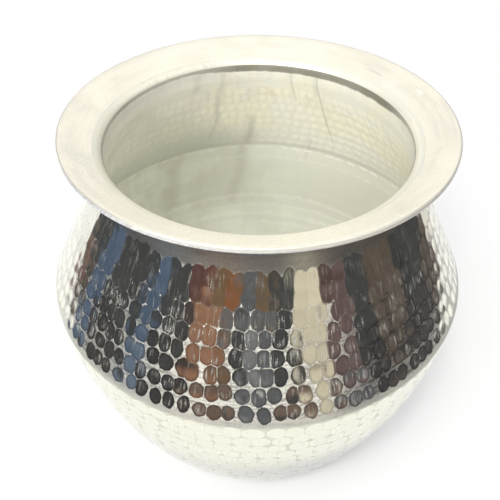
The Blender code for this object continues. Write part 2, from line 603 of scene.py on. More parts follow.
@dataclass(frozen=True)
class Shoulder(PotPart):
    """The cone between the neck and the belly: a plain neck, the hammered rows, a plain band."""

    start: float = 0.0
    neck_columns: int = 294
    plain_neck_band: float = 0.0105
    plain_belly_band: float = 0.0035
    row_count: int = 8
    marks_in_row: int = 98
    columns_per_mark: int = 6
    rings_per_mark: int = 6
    fine_margin: float = 0.0021
    seam: float = 0.0010
    mark_half_widths: Span = (0.0055, 0.0048)
    mark_half_heights: Span = (0.0083, 0.0059)
    top_row_drop: float = 0.0027

    @property
    def hammered(self) -> Span:
        """Where the hammered rows start and end, measured down the outer skin."""
        neck, belly = self.shape.skin_corners()[2:4]
        drop = (neck.height - belly.height) / (belly.place - neck.place).length
        top = self.skin.length_at(neck.height - self.plain_neck_band * drop)
        foot = self.skin.length_at(belly.height + self.plain_belly_band * drop)
        return float(top), float(foot)

    @property
    def end(self) -> float:
        """Where the plain band ends, just past the belly's sharp line."""
        belly = self.shape.skin_corners()[3]
        return float(self.skin.length_at(belly.height - self.shape.belly_rounding / 2))

    @property
    def seam_rings(self) -> list[np.ndarray]:
        """The two rings that are bridged between the neck and the finer rows."""
        start = self.hammered[0] - self.fine_margin
        return [self.skin.at(start - self.seam), self.skin.at(start)]

    def work(self) -> HammerWork:
        """Return how the shoulder is hammered, with the same number of marks in every row."""
        top, foot = self.hammered
        pitch = (foot - top) / self.row_count
        return HammerWork(
            first_row=top + pitch / 2,
            row_pitch=pitch,
            counts=[self.marks_in_row] * self.row_count,
            half_widths=self.mark_half_widths,
            half_heights=self.mark_half_heights,
            stray_round=0.12,
            stray_up=0.0006,
            seed=11,
            top_row_drop=self.top_row_drop,
        )

    def build(self, finishes: Finishes) -> list[bpy.types.Object]:
        """Build the neck, the fine rows and the plain belly band."""
        finish = finishes[Zone.SHEET]
        top, foot = self.hammered
        fine_start = top - self.fine_margin
        fine_columns = self.marks_in_row * self.columns_per_mark
        step = (foot - top) / self.row_count / self.rings_per_mark
        neck = self.skin.cut(self.start, fine_start - self.seam).refined(2 * step)
        rows = self.skin.cut(fine_start, foot).evenly(step)
        plain = self.skin.cut(foot, self.end)
        return [
            neck.spun("neck", self.neck_columns, finish),
            rows.spun("shoulder", fine_columns, finish),
            plain.spun("belly_band", fine_columns, finish),
        ]


@dataclass(frozen=True)
class Bowl(PotPart):
    """The round bowl below the belly, hammered down to its heel, and the flat base."""

    start: float = 0.0
    row_count: int = 12
    row_pitch: float = 0.0117
    mark_pitch: float = 0.0128
    columns: int = 360
    rings_per_mark: int = 5
    seam: float = 0.0010
    mark_half_widths: Span = (0.0072, 0.0069)
    mark_half_heights: Span = (0.0064, 0.0064)
    base_step: float = 0.015

    @property
    def end(self) -> float:
        """Where the rows end, measured down the outer skin."""
        return self.start + self.seam + self.row_count * self.row_pitch

    @property
    def seam_rings(self) -> list[np.ndarray]:
        """The two rings that are bridged between the belly band and the bowl."""
        return [self.skin.at(self.start), self.skin.at(self.start + self.seam)]

    def work(self) -> HammerWork:
        """Return how the bowl is hammered, with fewer marks in a row as the bowl narrows."""
        first = self.start + self.row_pitch / 2
        middles = first + self.row_pitch * np.arange(self.row_count)
        counts = np.round(2 * math.pi * self.skin.at(middles)[:, 0] / self.mark_pitch)
        return HammerWork(
            first_row=first,
            row_pitch=self.row_pitch,
            counts=[int(count) for count in counts],
            half_widths=self.mark_half_widths,
            half_heights=self.mark_half_heights,
            stray_round=0.08,
            stray_up=0.0005,
            seed=23,
        )

    def build(self, finishes: Finishes) -> list[bpy.types.Object]:
        """Build the hammered bowl and the base under it."""
        step = self.row_pitch / self.rings_per_mark
        rows = self.skin.cut(self.start + self.seam, self.end).evenly(step)
        base = self.skin.cut(self.end, self.skin.total).simplified(self.base_step)
        return [
            rows.spun("bowl", self.columns, finishes[Zone.SHEET]),
            base.spun("base", self.columns, finishes[Zone.BASE]),
        ]


@dataclass
class PotShell:
    """The whole pot, one closed sheet of metal that is hammered from outside."""

    shape: WallShape
    mark_depth: float = 0.00013
    smooth_below: float = math.radians(40)
    skin: Outline = field(init=False)
    lining: Outline = field(init=False)

    def __post_init__(self) -> None:
        """Draw the two skins."""
        self.skin = Outline.through(self.shape.skin_corners())
        self.lining = Outline.through(self.shape.lining_corners())

    def build(self, finishes: Finishes) -> bpy.types.Object:
        """Build the pot from its parts and hammer it.

        Args:
            finishes: The material of each zone.

        Returns:
            The finished pot.
        """
        whole = (self.shape, self.skin, self.lining)
        lining = Lining(*whole)
        brim = Brim(*whole, lining_start=lining.start)
        shoulder = Shoulder(*whole, start=brim.end)
        bowl = Bowl(*whole, start=shoulder.end)
        bands: list[bpy.types.Object] = []
        for part in (lining, brim, shoulder, bowl):
            built = part.build(finishes)
            faces = sum(len(band.data.polygons) for band in built)
            log.info("%s: %d bands, %d faces", type(part).__name__, len(built), faces)
            bands += built
        pot = self.join(bands, [shoulder.seam_rings, bowl.seam_rings], finishes)
        marks = HammerMarks(self.skin, [shoulder.work(), bowl.work()])
        self.hammer(pot, marks)
        self.record_marks(pot, marks)
        pick(pot)
        bpy.ops.object.shade_smooth_by_angle(angle=self.smooth_below)
        return pot

    def join(self, bands: list[bpy.types.Object], seams: list[list[np.ndarray]],
             finishes: Finishes) -> bpy.types.Object:
        """Join the bands to one closed wall with its faces outwards.

        Args:
            bands: The open bands.
            seams: Pairs of rings with unlike counts of points, which are bridged.
            finishes: The material of each zone.

        Returns:
            The joined pot.
        """
        pick(*bands)
        bpy.ops.object.join()
        pot = bpy.context.object
        pot.name = "cooking_pot"
        pot.data.name = "cooking_pot"
        pot.active_material_index = pot.data.materials.find(finishes[Zone.SHEET].name)
        for rings in seams:
            pick_rings(pot, rings)
            bpy.ops.mesh.bridge_edge_loops()
            bpy.ops.object.material_slot_assign()
            bpy.ops.object.mode_set(mode="OBJECT")
        bpy.ops.object.mode_set(mode="EDIT")
        bpy.ops.mesh.select_all(action="SELECT")
        bpy.ops.mesh.remove_doubles(threshold=WELD)
        bpy.ops.mesh.normals_make_consistent(inside=False)
        bpy.ops.object.mode_set(mode="OBJECT")
        return pot

    def hammer(self, pot: bpy.types.Object, marks: HammerMarks) -> None:
        """Sink the marks into the outer skin.

        Args:
            pot: The joined pot.
            marks: The layout of the marks.
        """
        outside = self.vertices_of(pot, Zone.SHEET)
        shares = marks.depths(vertex_places(pot.data)[outside])
        struck = pot.vertex_groups.new(name="struck")
        for vertex, share in zip(outside.tolist(), shares.tolist()):
            struck.add([vertex], share, "REPLACE")
        pick(pot)
        bpy.ops.object.modifier_add(type="DISPLACE")
        blow = pot.modifiers[-1]
        blow.vertex_group = struck.name
        blow.mid_level = 0.0
        blow.strength = -self.mark_depth
        bpy.ops.object.modifier_apply(modifier=blow.name)
        pot.vertex_groups.remove(pot.vertex_groups["struck"])

    def vertices_of(self, pot: bpy.types.Object, zone: Zone) -> np.ndarray:
        """Return the numbers of the vertices that a zone's faces use."""
        mesh = pot.data
        faces = read_all(mesh.polygons, "material_index") == self.slot_of(pot, zone)
        in_zone = np.repeat(faces, read_all(mesh.polygons, "loop_total"))
        return np.unique(read_all(mesh.loops, "vertex_index")[in_zone])

    def slot_of(self, pot: bpy.types.Object, zone: Zone) -> int:
        """Return the number of the material slot that holds a zone's finish."""
        return pot.data.materials.find(zone.value)

    def record_marks(self, pot: bpy.types.Object, marks: HammerMarks) -> None:
        """Write, at each corner of each face, its place in the two nearest marks.

        The finishes draw the marks' crisp edges from these, and on the lining the dimples
        behind them. On the brim and the base the place is far off.

        Args:
            pot: The hammered pot.
            marks: The layout of the marks.
        """
        mesh = pot.data
        points = vertex_places(mesh)
        normals = read_all(mesh.vertices, "normal", 3, float)
        lining = self.vertices_of(pot, Zone.LINING)
        points[lining] -= normals[lining] * self.shape.thickness
        sizes = read_all(mesh.polygons, "loop_total")
        slots = read_all(mesh.polygons, "material_index")
        corners = points[read_all(mesh.loops, "vertex_index")]
        located = marks.locate(corners)
        starts = np.concatenate(([0], np.cumsum(sizes)[:-1]))
        centres = np.add.reduceat(corners, starts) / sizes[:, None]
        best, _ = marks.nearest_two(marks.locate(centres))
        marked_slots = [self.slot_of(pot, zone) for zone in (Zone.SHEET, Zone.LINING)]
        marked = np.repeat(np.isin(slots, marked_slots), sizes)
        for name, numbers in zip((MARK_PLACE, NEXT_MARK_PLACE), best.T):
            places = marks.within(located, np.repeat(numbers, sizes))
            places[~marked] = FAR_OFF
            attribute = mesh.attributes.new(name, "FLOAT_VECTOR", "CORNER")
            attribute.data.foreach_set("vector", places.ravel())


class Signal:
    """A number in a finish, on which Python's arithmetic adds Math nodes."""

    def __init__(self, graph: "NodeGraph", socket: bpy.types.NodeSocket) -> None:
        """Wrap an output socket.

        Args:
            graph: The nodes that the socket belongs to.
            socket: The output that gives the number, colour or vector.
        """
        self.graph = graph
        self.socket = socket

    def maths(self, operation: str, *others: "Signal | float") -> "Signal":
        """Add a Math node on this number and others."""
        settings = {"operation": operation}
        return self.graph.node("ShaderNodeMath", settings, dict(enumerate((self, *others))))

    def __add__(self, other: "Signal | float") -> "Signal":
        """Return the sum."""
        return self.maths("ADD", other)

    __radd__ = __add__

    def __sub__(self, other: "Signal | float") -> "Signal":
        """Return the difference."""
        return self.maths("SUBTRACT", other)

    def __rsub__(self, other: float) -> "Signal":
        """Return what is left of a plain number."""
        return (self * -1.0) + other

    def __mul__(self, other: "Signal | float") -> "Signal":
        """Return the product."""
        return self.maths("MULTIPLY", other)

    __rmul__ = __mul__

    def __truediv__(self, other: "Signal | float") -> "Signal":
        """Return the quotient."""
        return self.maths("DIVIDE", other)

    def __pow__(self, power: float) -> "Signal":
        """Return a power."""
        return self.maths("POWER", power)

    def least(self, other: "Signal | float") -> "Signal":
        """Return the smaller of two numbers."""
        return self.maths("MINIMUM", other)

    def most(self, other: "Signal | float") -> "Signal":
        """Return the larger of two numbers."""
        return self.maths("MAXIMUM", other)

    def size(self) -> "Signal":
        """Return the number without its sign."""
        return self.maths("ABSOLUTE")

    def hypot(self, other: "Signal") -> "Signal":
        """Return the length of the flat vector that two numbers make."""
        return (self * self + other * other) ** 0.5

    def rise(self, start: float, full: float) -> "Signal":
        """Return 0 at one number and before it, 1 at the other and past it, in a smooth step."""
        settings = {"interpolation_type": "SMOOTHSTEP"}
        values = {0: self, 1: min(start, full), 2: max(start, full), 3: 0.0, 4: 1.0}
        if start > full:
            values.update({3: 1.0, 4: 0.0})
        return self.graph.node("ShaderNodeMapRange", settings, values)

    def towards(self, other: "Signal | float", share: "Signal") -> "Signal":
        """Return the number moved towards another one by a share of the way."""
        return self + (other - self) * share

    def between(self, low: float, high: float, soft: float) -> "Signal":
        """Return 1 between two numbers and 0 outside them, with soft edges of some width."""
        return self.rise(low - soft, low) * self.rise(high + soft, high)


@dataclass(frozen=True)
class MarkSpot:
    """How a point lies in the hammer mark nearest to it, in units of the mark's half sizes.

    Beside its distance from the mark's middle, 1 at the edge, there are the same distance in
    the next mark, a chance number of the mark's own, and the place across and down.
    """

    off: Signal
    next_off: Signal
    own: Signal
    across: Signal
    down: Signal


class NodeGraph:
    """The nodes of a material or of the world."""

    def __init__(self, tree: bpy.types.NodeTree) -> None:
        """Keep the tree that the nodes are added to."""
        self.tree = tree

    def node(self, kind: str, settings: dict[str, object], values: dict[int | str, object],
             output: int | str = 0) -> Signal:
        """Add a node.

        Args:
            kind: The node's type.
            settings: Its settings, which are made first. "stops" are a ramp's.
            values: A value or a link for each socket, by its number or name.
            output: The output to return.

        Returns:
            The chosen output.
        """
        node = self.tree.nodes.new(kind)
        for name, setting in settings.items():
            if name == "stops":
                self.place_stops(node.color_ramp, setting)
            else:
                setattr(node, name, setting)
        for name, value in values.items():
            self.feed(node.inputs[name], value)
        return Signal(self, node.outputs[output])

    def place_stops(self, ramp: bpy.types.ColorRamp, stops: list[tuple[float, Colour]]) -> None:
        """Set a ramp's stops, as (position, colour)."""
        while len(ramp.elements) > 1:
            ramp.elements.remove(ramp.elements[-1])
        ramp.elements[0].position = stops[0][0]
        ramp.elements[0].color = (*stops[0][1], 1.0)
        for position, colour in stops[1:]:
            ramp.elements.new(position).color = (*colour, 1.0)

    def feed(self, socket: bpy.types.NodeSocket, value: object) -> None:
        """Link a socket, or set its value. A colour may be given without its alpha."""
        if isinstance(value, Signal):
            self.tree.links.new(value.socket, socket)
        elif isinstance(value, tuple) and socket.type == "RGBA":
            socket.default_value = (*value[:3], 1.0)
        else:
            socket.default_value = value

    def mix(self, share: Signal | float, first: object, second: object,
            blend: str = "MIX") -> Signal:
        """Mix two colours, by a share of the second one."""
        settings = {"data_type": "RGBA", "blend_type": blend, "clamp_factor": True}
        return self.node("ShaderNodeMix", settings, {0: share, 6: first, 7: second}, 2)

    def layers(self, colour: object, *coats: tuple[object, object]) -> Signal:
        """Lay coats over a colour, each as (share, colour)."""
        for share, coat in coats:
            colour = self.mix(share, colour, coat)
        return colour

    def vector(self, x: object, y: object, z: object) -> Signal:
        """Return a vector from three numbers."""
        return self.node("ShaderNodeCombineXYZ", {}, {0: x, 1: y, 2: z})

    def outputs(self, signal: Signal, *names: int | str) -> tuple[Signal, ...]:
        """Return outputs of a signal's node, by number or name."""
        return tuple(Signal(self, signal.socket.node.outputs[name]) for name in names)

    def parts(self, vector: Signal) -> tuple[Signal, ...]:
        """Return a vector's three numbers."""
        return self.outputs(self.node("ShaderNodeSeparateXYZ", {}, {0: vector}), 0, 1, 2)

    def noise(self, place: Signal, scale: float, detail: float = 2.0,
              distortion: float = 0.0) -> Signal:
        """Return soft noise from 0 to 1 at a place."""
        values = {"Vector": place, "Scale": scale, "Detail": detail, "Distortion": distortion}
        return self.node("ShaderNodeTexNoise", {}, values)


class FinishGraph(NodeGraph):
    """The nodes of one finish, on a Principled shader."""

    def __init__(self, name: str) -> None:
        """Start a material with no nodes but its shader and output.

        Args:
            name: The material's name.
        """
        self.material = bpy.data.materials.new(name)
        self.material.use_nodes = True
        super().__init__(self.material.node_tree)
        self.shader = self.tree.nodes["Principled BSDF"]

    def mark(self) -> MarkSpot:
        """Read how a point lies in its hammer mark."""
        places = []
        for name in (MARK_PLACE, NEXT_MARK_PLACE):
            settings = {"attribute_type": "GEOMETRY", "attribute_name": name}
            places.append(self.parts(self.node("ShaderNodeAttribute", settings, {}, "Vector")))
        offs = [across.hypot(down) for across, down, _ in places]
        first_wins = offs[0].maths("LESS_THAN", offs[1])
        across, down, own = (second.towards(first, first_wins)
                             for first, second in zip(*places))
        return MarkSpot(offs[0].least(offs[1]), offs[0].most(offs[1]), own, across, down)

    def set(self, **values: object) -> None:
        """Set the shader's sockets. An underscore in a name stands for a space."""
        for name, value in values.items():
            self.feed(self.shader.inputs[name.replace("_", " ")], value)

    def bump(self, height: Signal) -> None:
        """Raise the surface by a height in metres."""
        values = {"Strength": 1.0, "Distance": 1.0, "Height": height}
        self.set(Normal=self.node("ShaderNodeBump", {}, values))


@dataclass(frozen=True)
class PotPlace:
    """Where a point of the pot or of a glowing sheet lies, measured from the pot's axis.

    Beside its place and its radius, these are its direction from the axis, and its bearing
    as an angle from the back of the pot, positive towards +X.
    """

    least_radius: ClassVar[float] = 0.001

    x: Signal
    y: Signal
    height: Signal
    radius: Signal
    east: Signal
    north: Signal
    bearing: Signal

    @classmethod
    def on(cls, graph: FinishGraph) -> "PotPlace":
        """Read the place from the object's own coordinates."""
        place = graph.node("ShaderNodeTexCoord", {}, {}, "Object")
        x, y, height = graph.parts(place)
        radius = x.hypot(y).most(cls.least_radius)
        return cls(x, y, height, radius, x / radius, y / radius, x.maths("ARCTAN2", y))

    @property
    def solid(self) -> Signal:
        """The place as a vector, for patterns that run through the metal."""
        return self.x.graph.vector(self.x, self.y, self.height)

    def facing(self, bearings: Span, soft: float) -> Signal:
        """Return 1 between two bearings in degrees, and 0 outside with soft edges."""
        start, end = (math.radians(bearing) for bearing in bearings)
        return self.bearing.between(start, end, math.radians(soft))

    def stretched(self, round_scale: float, along: Signal) -> Signal:
        """Return coordinates that run slowly round the pot and quickly along its outline.

        Args:
            round_scale: How many units a direction's change by 1 radian is worth.
            along: The number that runs along the outline, already scaled.
        """
        graph = self.x.graph
        return graph.vector(self.east * round_scale, self.north * round_scale, along)


@dataclass(frozen=True)
class HammeredSheet:
    """The outside: mirror-like hammer marks, scratched satin metal between, a polished neck."""

    mark_colour: Colour = (0.92, 0.905, 0.775)
    dull_mark_colour: Colour = (0.80, 0.79, 0.69)
    smeared_colour: Colour = (0.70, 0.69, 0.63)
    sheet_colour: Colour = (0.84, 0.825, 0.735)
    groove_colour: Colour = (0.38, 0.37, 0.325)
    rim_shade: float = 0.30
    neck_colour: Colour = (0.46, 0.455, 0.405)
    bowl_mark_colour: Colour = (0.82, 0.81, 0.695)
    bowl_sheet_colour: Colour = (0.62, 0.615, 0.51)
    # Colour of the painted shade low on the bowl, by its heel
    heel_shade_colour: Colour = (0.41, 0.415, 0.405)
    mark_roughness: float = 0.07
    smear_roughness: float = 0.16
    neck_roughness: float = 0.30
    neck_metallic: float = 0.95
    polished_roughness: float = 0.22
    scuffed_roughness: float = 0.42
    scuffed_metallic: float = 0.55
    smear_metallic: float = 0.74
    edge_softness: float = 0.07
    edge_wander: float = 0.40
    ridge_width: float = 0.17
    ridge_wander: float = 0.20
    dish_depth: float = 0.00002
    line_height: float = 0.000012
    neck_heights: Span = (0.2375, 0.2440)
    ridged_rows: Span = (0.2260, 0.2120)
    thinned_rows: Span = (0.2080, 0.2260)
    rimmed_rows: Span = (0.225, 0.185)
    lowest_row: Span = (0.178, 0.166)
    belly_height: float = 0.1530
    belly_softness: float = 0.0005
    plain_band: Span = (0.0045, 0.0030)
    dull_band: Span = (0.0055, 0.0030)
    band_wear: float = 0.38
    left_side: Span = (-0.75, -0.90)
    right_side: Span = (0.78, 0.90)
    satin_grain: float = 0.16
    polish_grain: float = 0.04
    heel_heights: Span = (0.1060, 0.0600)
    heel_side: Span = (-0.45, 0.45)

    def make(self) -> bpy.types.Material:
        """Make the material."""
        graph = FinishGraph(Zone.SHEET.value)
        place = PotPlace.on(graph)
        spot = graph.mark()
        own = spot.own
        wander = graph.noise(place.solid, 230.0, 2.0)
        patchy = graph.noise(place.solid, 90.0, 2.0)
        above_belly = place.height - self.belly_height
        bowl = above_belly.rise(self.belly_softness, -self.belly_softness)
        edge = spot.off + (wander - 0.5) * self.edge_wander
        inside = edge.rise(1.0 + self.edge_softness, 1.0 - self.edge_softness)
        marked = inside * (1.0 - self.ridge(place, spot, wander, patchy))
        left = place.east.rise(*self.left_side)
        right = place.east.rise(*self.right_side) * (1.0 - bowl)
        scuffed = self.scuffed(place, above_belly).most(bowl * 0.5)
        neck = place.height.rise(*self.neck_heights) * (1.0 - inside)
        fine = graph.noise(place.stretched(3.0, place.height * 900.0), 1.0)
        broad = graph.noise(place.stretched(5.0, place.height * 260.0), 1.0, 3.0)
        lines = fine * 0.55 + broad * 0.45
        specks = graph.noise(place.solid, 620.0, 2.0)
        tone_and_painted_light = (lines * 0.65 + specks * 0.35).rise(0.40, 0.56)
        tone_and_painted_light = tone_and_painted_light.towards(self.band_wear, above_belly.rise(*self.plain_band) * 0.7)
        # Painted light and shade: the metal between the marks is made pale on the far -X side and
        # darker on the far +X side.
        tone_and_painted_light = tone_and_painted_light.most(left * 0.85) * (1.0 - right * 0.55)
        sheet = graph.layers(
            self.groove_colour,
            (tone_and_painted_light, self.sheet_colour),
            (neck * (0.6 + 0.4 * lines), self.neck_colour),
            (bowl, self.bowl_sheet_colour),
        )
        smear = self.smeared(graph, place, spot, patchy) * (1.0 - bowl * 0.7)
        # Painted shade: the edges of the marks are darkened towards black in the lower shoulder
        # rows and down the +X side, most there.
        rim = place.height.rise(*self.rimmed_rows).most(right) * edge.rise(0.60, 1.0)
        mark = graph.layers(
            self.mark_colour,
            (own * 0.6, self.dull_mark_colour),
            (bowl * (1.0 - own * 0.25), self.bowl_mark_colour),
            (smear, self.smeared_colour),
            (rim * (1.0 - bowl) * (self.rim_shade + right * 0.25), BLACK),
        )
        # Painted shade: the bowl is darkened towards its heel, more on the +X side.
        heel = place.height.rise(*self.heel_heights)
        heel = heel * (0.35 + 0.55 * place.east.rise(*self.heel_side))
        grain = (lines - 0.5) * self.satin_grain
        satin = scuffed * (self.scuffed_roughness - self.polished_roughness)
        satin = satin + grain + self.polished_roughness
        neck_satin = grain + self.neck_roughness
        polish = smear * self.smear_roughness + wander * self.polish_grain + self.mark_roughness
        bare = 1.0 - smear * (1.0 - self.smear_metallic)
        shine = 1.0 - scuffed * (1.0 - neck) * (1.0 - self.scuffed_metallic)
        shine = shine - neck * (1.0 - self.neck_metallic)
        graph.set(
            Base_Color=graph.layers(sheet, (marked, mark), (heel, self.heel_shade_colour)),
            Roughness=satin.towards(neck_satin, neck).towards(polish, marked),
            Metallic=shine.towards(bare, marked),
        )
        dish = (1.0 - edge * edge).most(0.0) * -self.dish_depth
        dents = graph.noise(place.solid, 170.0, 3.0) * self.dish_depth * marked
        graph.bump(dish + lines * self.line_height * (1.0 - marked) + dents)
        return graph.material

    def ridge(self, place: PotPlace, spot: MarkSpot, wander: Signal, patchy: Signal) -> Signal:
        """Return where metal stands up between two marks that meet. The top rows run together.

        Args:
            place: Where a point lies.
            spot: How it lies in its hammer mark.
            wander: Fine noise, which makes the ridge's line uneven.
            patchy: Soft noise, which wears the ridge down in places.
        """
        nearness = spot.next_off - spot.off + (wander - 0.5) * self.ridge_wander
        sharp = nearness.rise(self.ridge_width, 0.02) * place.height.rise(*self.ridged_rows)
        return sharp * (0.15 + 0.65 * patchy.rise(0.42, 0.60))

    def scuffed(self, place: PotPlace, above_belly: Signal) -> Signal:
        """Return how dull the metal between the marks is: most at the front, least at +X.

        Args:
            place: Where a point lies.
            above_belly: How high it lies above the belly line.
        """
        side = place.east
        front = place.north.rise(0.2, -0.6) * side.rise(0.55, 0.20)
        front = front * (0.28 + 0.72 * side.rise(-0.80, -0.15))
        back = place.north.rise(0.0, 0.6) * 0.6
        low = place.height.rise(*self.lowest_row) * 0.18
        band = above_belly.rise(*self.dull_band) * 0.80
        return front.most(low).most(band).most(back)

    def smeared(self, graph: FinishGraph, place: PotPlace, spot: MarkSpot,
                patchy: Signal) -> Signal:
        """Return where the hammer dragged and left upright dull smears in the marks.

        Args:
            graph: The finish.
            place: Where a point lies.
            spot: How it lies in its hammer mark.
            patchy: Soft noise that thins the smears out in places.
        """
        upright = graph.noise(place.stretched(120.0, place.height * 110.0), 1.0, 2.0)
        dragged = (upright * 0.7 + patchy * 0.3).rise(0.51, 0.64)
        thin = 1.0 - place.height.rise(*self.thinned_rows) * 0.6
        return dragged * spot.off.rise(0.95, 0.5) * spot.own.rise(-0.1, 0.7) * thin


@dataclass(frozen=True)
class Smear:
    """A mark along the brim: its bearing and length in degrees, its width and strength."""

    bearing: float
    radius: float
    length: float
    width: float
    strength: float

    def share(self, place: PotPlace) -> Signal:
        """Return how strongly the smear covers a point."""
        half_length = math.radians(self.length / 2)
        off_middle = (place.bearing - math.radians(self.bearing)).size()
        along = off_middle.rise(half_length, half_length * 0.3)
        across = (place.radius - self.radius).size().rise(self.width / 2, self.width * 0.1)
        return along * across * self.strength


@dataclass(frozen=True)
class TurnedBrim:
    """The brim: pale satin metal with fine lathe lines round it, patchy with handling.

    Its rounded lip is duller, with a ragged skin of metal left on it at the back left.
    """

    colour: Colour = (0.83, 0.79, 0.675)
    # Colour of the dull patches, also used as painted shade at the back of the brim
    dull_and_back_shade_colour: Colour = (0.72, 0.688, 0.59)
    lip_colour: Colour = (0.69, 0.685, 0.60)
    dull_lip_colour: Colour = (0.65, 0.64, 0.54)
    border_colour: Colour = (0.57, 0.56, 0.49)
    dark_colour: Colour = (0.48, 0.46, 0.39)
    pale_colour: Colour = (0.93, 0.92, 0.86)
    bright_colour: Colour = (0.97, 0.96, 0.90)
    # Painted light: the paler colour of the brim's very front
    lit_front_colour: Colour = (0.93, 0.90, 0.76)
    land_colour: Colour = (0.66, 0.64, 0.55)
    line_colour: Colour = (0.34, 0.33, 0.29)
    # Painted light and shade on the rim's cut edge: paler towards -X, darker towards +X.
    lit_left_edge_colour: Colour = (0.70, 0.70, 0.72)
    shaded_right_edge_colour: Colour = (0.54, 0.51, 0.46)
    tick_colour: Colour = (0.42, 0.41, 0.385)
    roughness: float = 0.44
    metallic: float = 0.55
    line_height: float = 0.000012
    scratch_depth: float = 0.00001
    satin_grain: float = 0.18
    border_share: float = 0.50
    front_share: float = 0.75
    grain_share: float = 0.30
    line_share: float = 0.75
    scratch_share: float = 0.60
    lip_radius: float = 0.1136
    lip_softness: float = 0.0003
    border_width: Span = (0.0005, 0.0001)
    land_radius: float = 0.1331
    land_softness: float = 0.0004
    line_place: Span = (-0.0006, -0.0002)
    line_softness: float = 0.0002
    edge_radius: float = 0.13475
    edge_softness: float = 0.00015
    edge_foot: Span = (0.0012, 0.0024)
    ragged_radii: Span = (0.1080, 0.1092)
    scratched_radii: Span = (0.117, 0.1285)
    scratched_softness: float = 0.002
    dull_bearings: Span = (-125.0, -30.0)
    ragged_bearings: Span = (-54.0, -19.0)
    scratched_bearings: Span = (-128.0, -106.0)
    dark_smears: tuple[Smear, ...] = (
        Smear(44.0, 0.1240, 8.0, 0.0020, 0.90),
        Smear(49.0, 0.1211, 11.0, 0.0028, 1.00),
        Smear(46.5, 0.1224, 7.0, 0.0018, 0.80),
        Smear(48.0, 0.1262, 17.0, 0.0080, 0.45),
        Smear(92.0, 0.1240, 46.0, 0.0260, 0.16),
        Smear(-112.0, 0.1185, 26.0, 0.0010, 0.18),
        Smear(-62.0, 0.1262, 7.0, 0.0030, 0.25),
    )
    pale_smears: tuple[Smear, ...] = (
        Smear(62.0, 0.1165, 20.0, 0.0090, 0.40),
        Smear(71.0, 0.1262, 4.0, 0.0040, 0.50),
        Smear(-30.0, 0.1290, 30.0, 0.0110, 0.30),
    )

    def make(self) -> bpy.types.Material:
        """Make the material."""
        graph = FinishGraph(Zone.BRIM.value)
        place = PotPlace.on(graph)
        fine = graph.noise(place.stretched(2.5, place.radius * 1100.0), 1.0)
        broad = graph.noise(place.stretched(2.0, place.radius * 260.0), 1.0, 3.0)
        patches = graph.noise(place.stretched(3.0, place.radius * 60.0), 1.0, 4.0, 0.4)
        specks = graph.noise(place.solid, 420.0, 3.0)
        grain = graph.noise(place.solid, 520.0, 2.0).rise(0.47, 0.62)
        lines = fine * 0.5 + broad * 0.5
        dull = (lines * 0.35 + patches * 0.50 + specks * 0.15).rise(0.58, 0.40)
        past_lip = place.radius - self.lip_radius
        lip = past_lip.rise(self.lip_softness, -self.lip_softness)
        border = past_lip.size().rise(*self.border_width)
        worn_lip = graph.mix(lines.rise(0.42, 0.56), self.lip_colour, self.colour)
        dull_lip = lip * place.facing(self.dull_bearings, 14.0)
        # Painted shade and light: the brim is darkened towards the back, and made paler and
        # yellower at the very front.
        back = place.north.rise(0.3, 0.9) * 0.22 + place.north.between(0.40, 0.85, 0.12) * 0.30
        front = place.north.rise(-0.75, -0.98)
        past_edge = place.radius - self.edge_radius
        line = past_edge.between(*self.line_place, self.line_softness)
        land = place.radius.rise(self.land_radius, self.land_radius + self.land_softness)
        stained = patches.rise(0.2, 0.6)
        colour = graph.layers(
            self.colour,
            (dull, self.dull_and_back_shade_colour),
            (lip * (1.0 - patches * 0.3), worn_lip),
            (dull_lip * (0.55 + 0.45 * patches), self.dull_lip_colour),
            (border * patches.rise(0.3, 0.6) * self.border_share, self.border_colour),
            (self.ragged(graph, place, lip), self.dark_colour),
            *((smear.share(place) * stained, self.dark_colour) for smear in self.dark_smears),
            *((smear.share(place), self.pale_colour) for smear in self.pale_smears),
            (back, self.dull_and_back_shade_colour),
            (front * self.front_share, self.lit_front_colour),
            (grain * self.grain_share, self.dull_and_back_shade_colour),
            (land * (0.45 + 0.30 * front), self.land_colour),
            (line * (1.0 - front) * self.line_share, self.line_colour),
            self.filed_and_side_light_edge(graph, place, past_edge, front),
        )
        scratched = self.scratched(graph, place)
        graph.set(
            Base_Color=graph.mix(scratched * self.scratch_share, colour, self.bright_colour),
            Roughness=(lines - 0.5) * self.satin_grain + self.roughness,
            Metallic=self.metallic,
        )
        graph.bump(lines * self.line_height + scratched * -self.scratch_depth)
        return graph.material

    def filed_and_side_light_edge(self, graph: FinishGraph, place: PotPlace, past_edge: Signal,
                   front: Signal) -> tuple[Signal, Signal]:
        """Return the coat on the rim's cut edge, with the slanting ticks that the file left, and
        painted light and shade: paler towards -X, darker towards +X.

        Args:
            graph: The finish.
            place: Where a point lies.
            past_edge: How far out it lies from where the edge starts.
            front: How far round to the front it lies. There the edge takes the brim's pale colour
                as painted light, but for its foot.

        Returns:
            The coat's share and its colour.
        """
        turned = place.bearing * 260.0 + place.height * 1800.0
        ticks = graph.noise(graph.vector(turned, place.height * 60.0, 0.0), 1.0, 1.0)
        foot = (POT_HIGH.z - place.height).rise(*self.edge_foot)
        # Painted light: at the very front the edge shows the brim's pale colour instead of its
        # coat, all but its foot.
        tone_and_painted_light = 1.0 - front * (1.0 - foot) * 0.85
        filed_and_side_light = graph.layers(
            self.lit_left_edge_colour,
            (place.east.rise(-0.3, 0.5), self.shaded_right_edge_colour),
            (ticks.rise(0.44, 0.58) * 0.7, self.tick_colour),
        )
        return past_edge.rise(0.0, self.edge_softness) * tone_and_painted_light, filed_and_side_light

